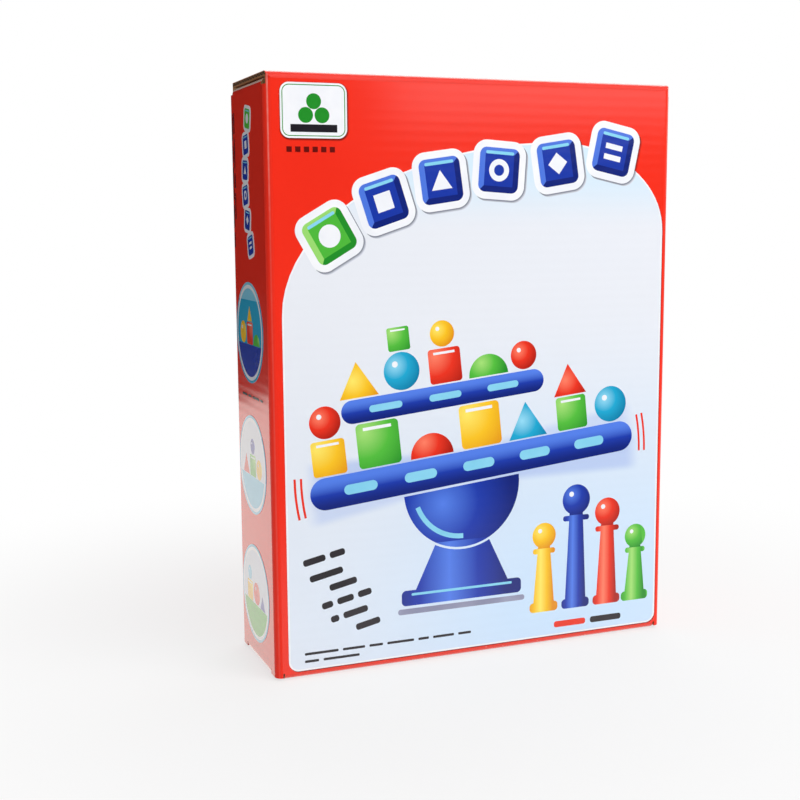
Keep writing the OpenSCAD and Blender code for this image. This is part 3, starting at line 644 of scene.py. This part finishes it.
# %% Carton finish
def carton_finish():
    recipe = Recipe("printed_board")
    at = carton_place(recipe)
    printed = printed_skin(at)
    cut, through, along, waved = cut_edges(at, printed)
    ridges = across_the_flutes(at)
    paper = paper_colour(recipe, at.point, ridges)
    print_colour = red_print(recipe, at.point, wear_and_painted_highlight(at), printed_and_painted_shade(at))
    colour = recipe.blend(printed, paper, print_colour)
    recipe.give("Base Color", recipe.blend(cut, colour, flute_section(recipe, through, along, waved)))
    corner = (at.out_x > 0.2) * (at.out_y > 0.2)
    height = board_relief(recipe, at.point, ridges, printed, cut)
    film_gloss(recipe, at.point, printed, PAPER_ROUGHNESS, height, corner.at_least(at.front_fold))
    return recipe.material


dress("carton", carton_finish())

# %% [markdown]
# ## The lid
# The lid is the same board, folded twice. Its section is a flat board, a small arc and the tongue, which is
# bent round the hinge. The distance below the outer skin is worked out along that section, so the print
# follows both folds, and the cut ends show the wave.

# %% Lid measures
HINGE_Y = -FOLD_Y - FOLD_R * math.sqrt(0.5)
HINGE_Z = LID_FOLD_Z + FOLD_R * math.sqrt(0.5)
TONGUE_R = HALF_D - BOARD - 0.4 - HINGE_Y
TUCK_Y = HINGE_Y + math.sqrt((TONGUE_R - FOLD_R) ** 2 - (HINGE_Z - LID_FOLD_Z) ** 2)
TONGUE_TIP_Z = HINGE_Z - 14.0
SLIT_X = HALF_W - 8.9
print(f"hinge at y {HINGE_Y:.2f}, z {HINGE_Z:.2f}, tongue bent to a radius of {TONGUE_R:.1f} mm")


# %% Lid finish
def lid_depth(x, y, z):
    """How deep a place lies below the lid's outer skin, in the flat part, the two folds and the tongue."""
    before = y < -FOLD_Y
    tucked = (y > TUCK_Y) * (size_of(x) < SLIT_X)
    upper = z > LID_FOLD_Z
    flat = (TOP - z) * (1 - before) * (1 - tucked)
    front_fold = FOLD_R - reach(y + FOLD_Y, z - LID_FOLD_Z)
    tuck_fold = FOLD_R - reach(y - TUCK_Y, z - LID_FOLD_Z)
    tongue = TONGUE_R - reach(y - HINGE_Y, z - HINGE_Z)
    return upper * (flat + before * front_fold + tucked * tuck_fold) + (1 - upper) * tongue


def lid_finish():
    recipe = Recipe("printed_lid")
    place = recipe.place()
    x, y, z = recipe.split(place)
    behind = y > TUCK_Y
    upper = z > LID_FOLD_Z
    depth = lid_depth(x, y, z)
    printed = depth < SKIN
    facing_x = recipe.split(recipe.node("ShaderNodeTexCoord", output="Normal"))[0]
    end_cut = (size_of(facing_x) > 0.5) * (1 - printed)
    tip_cut = (z < TONGUE_TIP_Z) * within(depth, SKIN, BOARD - SKIN) * (1 - printed)
    cut = end_cut.at_least(tip_cut)
    along = y + (TOP - z) * behind
    on_fold = upper * (y < -FOLD_Y).at_least(behind)
    pale_share = on_fold * recipe.step(recipe.noise(place, 1.6, 4.0), 0.58, 0.78) * 0.3
    colour = recipe.blend(printed, paper_colour(recipe, place, along), red_print(recipe, place, pale_share))
    recipe.give("Base Color", recipe.blend(cut, colour, flute_section(recipe, depth, along, end_cut)))
    height = board_relief(recipe, place, along, printed, cut)
    film_gloss(recipe, place, printed, PAPER_ROUGHNESS, height, upper * behind)
    return recipe.material


dress("lid", lid_finish())

# %% [markdown]
# ## The paper in the lid's fold
# The board is one piece across the fold, but a solid that turns and one that stands can only meet there. When
# the lid opens, the two raw halves of the fold would show. On the real carton the brown inner paper bridges
# them: it lies creased in the closed fold, and rolls out over the hinge as the lid goes back. It is a strip
# of thin paper, so a plane is enough to start with. It is cut into short lengths, and its upper edge is spun
# round the fold and extruded under the lid.

# %% Strip round the fold
INNER_R = FOLD_R - BOARD
STRIP_HALF_W = 72.0
STRIP_CUTS = 143
STRIP_GAP = 0.03
STRIP_DROP = 1.4
STRIP_RUN = 0.8
SPIN_STEPS = 12


def in_metres(x, y, z):
    return Vector((x * MM, y * MM, z * MM))


def select_edges(thing, wanted):
    """Selects the edges whose two ends, in millimetres, are as wanted."""
    bpy.ops.object.mode_set(mode="EDIT")
    bpy.ops.mesh.select_mode(type="EDGE")
    bpy.ops.mesh.select_all(action="DESELECT")
    bpy.ops.object.mode_set(mode="OBJECT")
    for edge in thing.data.edges:
        first, last = [thing.data.vertices[i].co / MM for i in edge.vertices]
        edge.select = wanted(first, last)
    bpy.ops.object.mode_set(mode="EDIT")


clear_selection()
bpy.ops.mesh.primitive_plane_add(
    size=1,
    location=in_metres(0, -FOLD_Y - (INNER_R - STRIP_GAP), LID_FOLD_Z - STRIP_DROP / 2),
    rotation=(math.pi / 2, 0, 0),
)
strip = bpy.context.object
strip.name = "fold_inner_paper"
strip.scale = (2 * STRIP_HALF_W * MM, STRIP_DROP * MM, 1)
bpy.ops.object.transform_apply(location=True, rotation=True, scale=True)
select_edges(strip, lambda first, last: abs(first.x - last.x) > 1)
bpy.ops.mesh.subdivide(number_cuts=STRIP_CUTS)
select_edges(strip, lambda first, last: min(first.z, last.z) > LID_FOLD_Z - 0.01)
bpy.ops.mesh.spin(
    steps=SPIN_STEPS,
    angle=math.pi / 2,
    center=in_metres(0, -FOLD_Y, LID_FOLD_Z),
    axis=(1, 0, 0),
)
bpy.ops.mesh.extrude_region_move(TRANSFORM_OT_translate={"value": (0, STRIP_RUN * MM, 0)})
bpy.ops.mesh.select_all(action="SELECT")
bpy.ops.mesh.remove_doubles(threshold=0.002 * MM)
bpy.ops.mesh.normals_make_consistent(inside=False)
bpy.ops.object.mode_set(mode="OBJECT")
strip.data.update()
print("strip faces:", len(strip.data.polygons))

# %% [markdown]
# ### Wrinkles and thickness
# Paper that is bent this tightly buckles. Each point of the strip moves a little into the fold, by a smooth
# noise that is longer along the carton than round the fold. Solidify then makes the strip as thick as paper.

# %% Wrinkles and thickness
STRIP_T = 0.05
WRINKLE = 0.05
INTO_FOLD = Vector((0, 1, -1)).normalized()

for vertex in strip.data.vertices:
    x, y, z = [value / MM for value in vertex.co]
    wave = noise.noise(Vector((x * 0.35, y * 2, z * 2)))
    vertex.co += INTO_FOLD * (0.5 + 0.5 * wave) * WRINKLE * MM
thick = strip.modifiers.new("paper", "SOLIDIFY")
thick.thickness = STRIP_T * MM
thick.offset = 0
bpy.ops.object.modifier_apply(modifier="paper")
bpy.ops.object.shade_smooth_by_angle(angle=math.radians(40))
for axis in "xyz":
    along_axis = [getattr(vertex.co, axis) / MM for vertex in strip.data.vertices]
    print(f"strip {axis}: {min(along_axis):.2f} to {max(along_axis):.2f} mm")


# %% [markdown]
# ### Its finish
# The strip is brown like the rest of the inside, with darker patches where a noise is high.

# %% Strip finish
def strip_finish():
    recipe = Recipe("creased_inner_paper")
    place = recipe.place()
    z = recipe.split(place)[2]
    dark_patches = recipe.step(recipe.noise(place, 0.9, 4.0), 0.52, 0.70)
    recipe.give("Base Color", recipe.blend(0.5 * dark_patches, paper_colour(recipe, place, z), KRAFT_DARK))
    recipe.give("Roughness", PAPER_ROUGHNESS)
    recipe.relief(0.03 * recipe.noise(place, 0.5, 4.0))
    return recipe.material


strip.data.materials.append(strip_finish())
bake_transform(strip)
print("strip triangles:", sum(len(face.vertices) - 2 for face in strip.data.polygons))

# %% [markdown]
# ## The picture's shading
# The printed toys are drawn as glossy plastic: lit from the upper left, deep at the lower right. The films
# are flat, so this light is printed, and it has to be worked out from the place on the panel. First come the
# places of the toys: each has its kind, ink, middle, foot and width, in the frame of the tilted beam on the
# front, and in the panel's own frame on the side.

# %% Toys of the picture, in millimetres
PICTURE_PLACE = (-1.0, 74.0)
PICTURE_TILT = 6.0
TOYS = [
    ("block", "yellow", -54, 0.5, 12), ("ball", "red", -54, 13, 11), ("block", "green", -36, 0.5, 15.4),
    ("dome", "red", -17, 0.5, 16), ("block", "yellow", 2, 0.5, 15.4), ("wedge", "sky", 20, 0.5, 15),
    ("block", "green", 38, 0.5, 12), ("wedge", "red", 38, 13, 13), ("ball", "sky", 54, 0.5, 13),
    ("wedge", "yellow", -41, 24.9, 14), ("ball", "sky", -25, 24.9, 13), ("block", "green", -25, 38.4, 8),
    ("block", "red", -9, 24.9, 12), ("ball", "yellow", -9, 37.4, 9), ("dome", "green", 7, 24.9, 15),
    ("ball", "red", 21, 24.9, 10),
]
SIDE_SHIFT = 2.2
SIDE_TOYS = [
    ("block", "yellow", -7, 20.1, 7), ("ball", "red", 1.5, 20.1, 8), ("wedge", "blue", 9, 20.1, 6),
    ("ball", "sky", -7, 27.4, 5), ("wedge", "red", -8, 65.8, 8), ("block", "green", 0.5, 65.8, 7.4),
    ("ball", "yellow", 8.5, 65.8, 7), ("ball", "blue", 0.5, 73.5, 5.4), ("ball", "yellow", -8, 111.5, 7.6),
    ("block", "red", 0.5, 111.5, 7.6), ("dome", "green", 8.8, 111.5, 8), ("wedge", "yellow", 0.5, 119.4, 6),
]
print(len(TOYS) + len(SIDE_TOYS), "toys")

# %% Pawns, tiles, beams and rocker
PAWNS = {"yellow": (25.5, 33), "blue": (38.5, 46), "red": (51.5, 40), "green": (63.5, 29)}
PAWN_FLOOR = 12.0
TILE_HALF = 7.5
TILES = {
    "green": [(-54, 148, 30)],
    "blue": [(-35, 159, 18), (-14.5, 166, 8), (7, 169.5, -4), (29.5, 172, 9), (51.5, 176, -12)],
}
BEAM_HALF = 62.5
UPPER_BEAM_MIDDLE = -10
UPPER_BEAM_HALF = 38.5
ROCKER_PLACE = (-6.73, 61.53)
ROCKER_RISE = 11.8
ROCKER_TOP = -11.6
print(len(PAWNS), "pawns,", sum(map(len, TILES.values())), "tiles")

# %% [markdown]
# ### Four kinds of printed light
# A spot fades with the distance from its middle and suits balls, blocks, wedges and domes. A pawn has a light
# stripe down its body and a spot on its head. A tile has a bevel, light on two sides and dark on the others.
# A beam is light along its top.

# %% Spots and pawns
SPOT = {
    "block": (-0.30, 0.80, 1.15),
    "ball": (-0.17, 0.67, 0.72),
    "wedge": (-0.12, 0.42, 0.75),
    "dome": (-0.16, 0.32, 0.66),
}


def turned(a, b, middle, degrees):
    """A place as it is seen from a middle, in a frame turned by some degrees."""
    c = math.cos(math.radians(degrees))
    s = math.sin(math.radians(degrees))
    across = a - middle[0]
    up = b - middle[1]
    return across * c + up * s, up * c - across * s


def spot_light(a, b, toy):
    kind, ink, middle, foot, width = toy
    shift, rise, size = SPOT[kind]
    return 1 - reach(a - (middle + shift * width), b - (foot + rise * width)) / (size * width)


def pawn_light(x, z, place, height):
    """Light down the left of the body, and a round head above it."""
    head = 2.4 + 0.07 * height
    top = PAWN_FLOOR + height
    body = (1 - size_of(x - (place - 1.3)) / 5.0) * within(x, place - 6, place + 6) * (z < top - 2 * head)
    ball = 1 - reach(x - (place - 0.35 * head), z - (top - 0.65 * head)) / (1.5 * head)
    return body.at_least(ball) * (z < top + 1)


# %% Tiles, beams and rocker
def tile_light(x, z, tile):
    """A raised tile: its upper and left borders catch light, the other two lie in shade."""
    across, up = turned(x, z, tile[:2], tile[2])
    far = size_of(across).at_least(size_of(up))
    lit = (up - across) > 0.0
    return (far < TILE_HALF + 0.5) * (0.42 + (far > TILE_HALF * 0.72) * (0.9 * lit - 0.42))


def beam_light(recipe, x, z, u, v):
    """The two beams, and the bowl and plinth of the rocker under them."""
    lower = (size_of(u) < BEAM_HALF) * within(v, -11.5, 0.3) * recipe.step(v, -11.0, -1.0)
    upper = (size_of(u - UPPER_BEAM_MIDDLE) < UPPER_BEAM_HALF) * within(v, 16.0, 24.8)
    upper = upper * recipe.step(v, 16.4, 23.8)
    bowl = 1 - reach(u + 15, v + 17) / 27.0
    plinth = (1 - size_of(x - (ROCKER_PLACE[0] - 5)) / 22.0) * within(z, 20.0, 42.0)
    return lower.at_least(upper).at_least(bowl.at_least(plinth) * (v < ROCKER_TOP))


# %% All the printed light of one ink
NOTES_TOP = 10.0
PICTURE_TOP = 60.0


def even_light(ink, z, u, v, on_side):
    """The light of what is printed flat: notes at the foot, sway lines, the whole side, and gloss marks."""
    sway_lines = (size_of(u) > BEAM_HALF + 0.5) * (v < PICTURE_TOP)
    flat = (z < NOTES_TOP).at_least(sway_lines).at_least(on_side)
    if ink != "sky":
        return 0.5 * flat
    gloss_marks = (v < 0.0).at_least(within(v, 14.5, 24.5)).at_least(v > PICTURE_TOP)
    return (0.9 * gloss_marks).at_least(0.5 * flat)


def printed_light(recipe, place, ink):
    """From 0, deep, to 1, light. The brightest of the shapes in this ink holds."""
    x, y, z = recipe.split(place)
    u, v = turned(x, z, PICTURE_PLACE, PICTURE_TILT)
    on_side = x < -FOLD_X - 1
    light = even_light(ink, z, u, v, on_side) * (0.92 + 0.16 * recipe.noise(place, 7.0))
    front = [spot_light(u, v, toy) for toy in TOYS if toy[1] == ink]
    if ink in PAWNS:
        front.append(pawn_light(x, z, *PAWNS[ink]))
    if ink == "blue":
        front.append(beam_light(recipe, x, z, u, v))
    front += [tile_light(x, z, tile) for tile in TILES.get(ink, [])]
    back = 0 - y - SIDE_SHIFT
    side = [spot_light(back, z, toy) for toy in SIDE_TOYS if toy[1] == ink]
    for lights, here in ((front, 1 - on_side), (side, on_side)):
        for one in lights:
            light = light.at_least(one * here)
    return light


# %% [markdown]
# ## The inks
# Each ink is a thin film of its own on the front and left panels. All of them lie under the same laminating
# film, so they share its gloss and the washboard. What differs is the colour: three tones for each ink, mixed
# by the printed light. The pale panel turns bluer towards its foot and its crest, and pale doubles of the
# beam show its swing. The shadow ink is deep beside a tile and fades outwards.

# %% Toned and mottled inks
def toned(ink, deep, middle, light):
    def colour_of(recipe, place, x, z):
        shade = printed_light(recipe, place, ink)
        lower = recipe.blend(2 * shade, deep, middle)
        return recipe.blend(2 * shade - 1, lower, light)

    return colour_of


def mottled(light, deep):
    def colour_of(recipe, place, x, z):
        return recipe.blend(recipe.step(recipe.noise(place, 12.0, 3.0), 0.30, 0.70), light, deep)

    return colour_of


# %% Pale panel
PANEL_PALE = paint(232, 235, 242)
PANEL_CREST = paint(213, 233, 248)
PANEL_BLUE = paint(204, 228, 251)
SWING_COLOUR = paint(176, 196, 238)
SWING_DOWN = PICTURE_TILT - 5.5
SWING_UP = PICTURE_TILT + 4.5


def swung_beam(recipe, x, z, degrees):
    """A pale double of the lower beam, turned about the rocker's middle."""
    across, up = turned(x, z, ROCKER_PLACE, degrees)
    band = recipe.step(size_of(up - ROCKER_RISE + 5.5), 7.5, 4.0)
    return band * recipe.step(size_of(across - 7), 65.0, 58.0)


def pale_panel(recipe, place, x, z):
    crest = recipe.step(z, 148.0, 172.0)
    panel = recipe.blend(crest, PANEL_PALE, PANEL_CREST)
    down = 1 - recipe.step(z, 8.0, 130.0)
    right = recipe.step(x, -70.0, 30.0)
    panel = recipe.blend(down * (0.3 + 0.7 * right), panel, PANEL_BLUE)
    swing = swung_beam(recipe, x, z, SWING_DOWN).at_least(swung_beam(recipe, x, z, SWING_UP) * 0.7)
    return recipe.blend(swing * 0.75, panel, SWING_COLOUR)


# %% Dark and shadow inks
DARK_RED = paint(104, 14, 10)
DOTS_X = (-74.0, -40.0)
DOTS_Z = (172.0, 179.0)
TILES_FOOT = 125.0


def dark_ink(recipe, place, x, z):
    """Black, and a dark red for the dots that are printed over the red field."""
    over_red = within(z, *DOTS_Z) * within(x, *DOTS_X)
    black = mottled(paint(40, 36, 44), paint(26, 24, 32))(recipe, place, x, z)
    return recipe.blend(over_red, black, DARK_RED)


def shadow_ink(recipe, place, x, z):
    """Grey under the plinth. Beside a tile it is deep and fades outwards, and over red it is a dark red."""
    apart = 9.0
    for tile in [tile for tiles in TILES.values() for tile in tiles]:
        across, up = turned(x, z, tile[:2], tile[2])
        corner = reach((size_of(across) - 5).at_least(0.0), (size_of(up) - 5).at_least(0.0))
        apart = (corner - 4.9).at_most(apart)
    fade = recipe.step(apart, -0.1, 1.25)
    on_panel = over_panel(x, z)
    deep = recipe.blend(on_panel, DARK_RED, paint(104, 108, 124))
    pale = recipe.blend(on_panel, RED, paint(226, 230, 240))
    flat = mottled(paint(158, 160, 184), paint(140, 142, 168))(recipe, place, x, z)
    return recipe.blend(z > TILES_FOOT, flat, recipe.blend(fade, deep, pale))


# %% Ink finishes
INKS = {
    "print_white": mottled(paint(246, 247, 250), paint(238, 240, 246)),
    "print_pale_blue": pale_panel,
    "print_blue": toned("blue", paint(14, 34, 120), paint(26, 58, 172), paint(84, 128, 232)),
    "print_sky": toned("sky", paint(8, 126, 168), paint(28, 168, 210), paint(150, 220, 244)),
    "print_yellow": toned("yellow", paint(228, 144, 16), paint(250, 196, 32), paint(255, 232, 104)),
    "print_green": toned("green", paint(34, 142, 40), paint(84, 190, 62), paint(166, 224, 120)),
    "print_red": toned("red", paint(172, 26, 12), paint(236, 50, 28), paint(255, 128, 100)),
    "print_dark": dark_ink,
    "print_shadow": shadow_ink,
}


def ink_finish(name, colour_of):
    recipe = Recipe(name)
    place = recipe.place()
    x, y, z = recipe.split(place)
    recipe.give("Base Color", colour_of(recipe, place, x, z))
    film_gloss(recipe, place, 1.0, 0.5, ripple(recipe, z, place))
    return recipe.material


for name, colour_of in INKS.items():
    dress(name, ink_finish(name + "_ink", colour_of))
